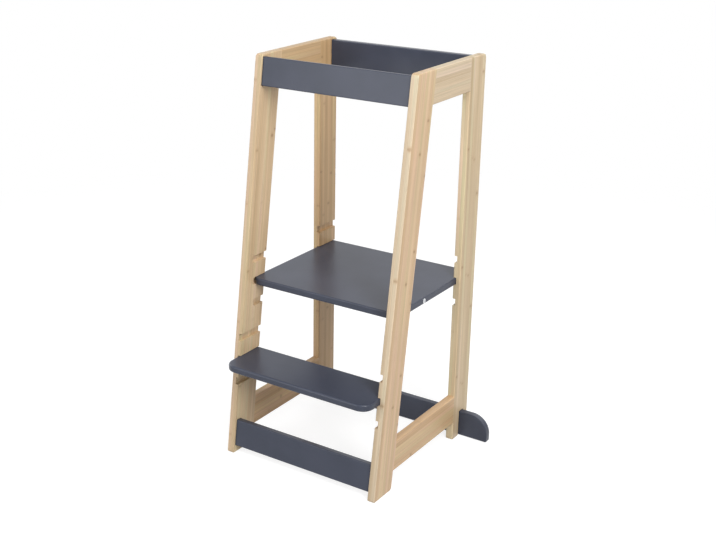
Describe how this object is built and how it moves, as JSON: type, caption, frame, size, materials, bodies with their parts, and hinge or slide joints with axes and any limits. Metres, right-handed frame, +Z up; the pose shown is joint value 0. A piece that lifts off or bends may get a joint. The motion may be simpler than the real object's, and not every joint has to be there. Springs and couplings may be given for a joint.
{
  "type": "toddler kitchen helper stool",
  "caption": "Tall toddler helper stool: open bamboo side frames tied by painted boards, with a platform and a step held in slots in the legs.",
  "frame": {"origin": "on the floor, under the middle of the whole stool's outline", "axes": "+Z up; X across the stool, +X towards the user's right seen from the front; -Y is the front, where the child climbs up"},
  "size_m": [0.546, 0.4348, 0.9],
  "materials": {
    "bamboo": "clear satin lacquer over laminated bamboo",
    "painted_board": "satin blue-grey paint on board",
    "dowel_wood": "plain beech",
    "zinc": "bright zinc"
  },
  "bodies": {
    "frame": {"left_front_leg": "bamboo", "left_rear_leg": "bamboo", "left_top_rail": "bamboo", "left_bottom_rail": "bamboo", "left_frame_dowels": "dowel_wood", "right_front_leg": "bamboo", "right_rear_leg": "bamboo", "right_top_rail": "bamboo", "right_bottom_rail": "bamboo", "right_frame_dowels": "dowel_wood", "top_front_rail": "painted_board", "top_back_rail": "painted_board", "bottom_front_rail": "painted_board", "rail_dowels": "dowel_wood", "rail_connector_bolts": "zinc", "rail_cam_locks": "zinc", "stabiliser_board": "painted_board", "stabiliser_screws": "zinc"},
    "platform": {"platform": "painted_board", "platform_stop_screws": "zinc"},
    "step": {"step": "painted_board"}
  },
  "joints": [
    {"name": "platform_slide", "type": "slide", "parent": "frame", "child": "platform", "axis": [0, 1, 0], "range_m": [-0.008, 0.132]},
    {"name": "step_slide", "type": "slide", "parent": "frame", "child": "step", "axis": [0, -1, 0], "range_m": [-0.128, 0.078]}
  ]
}
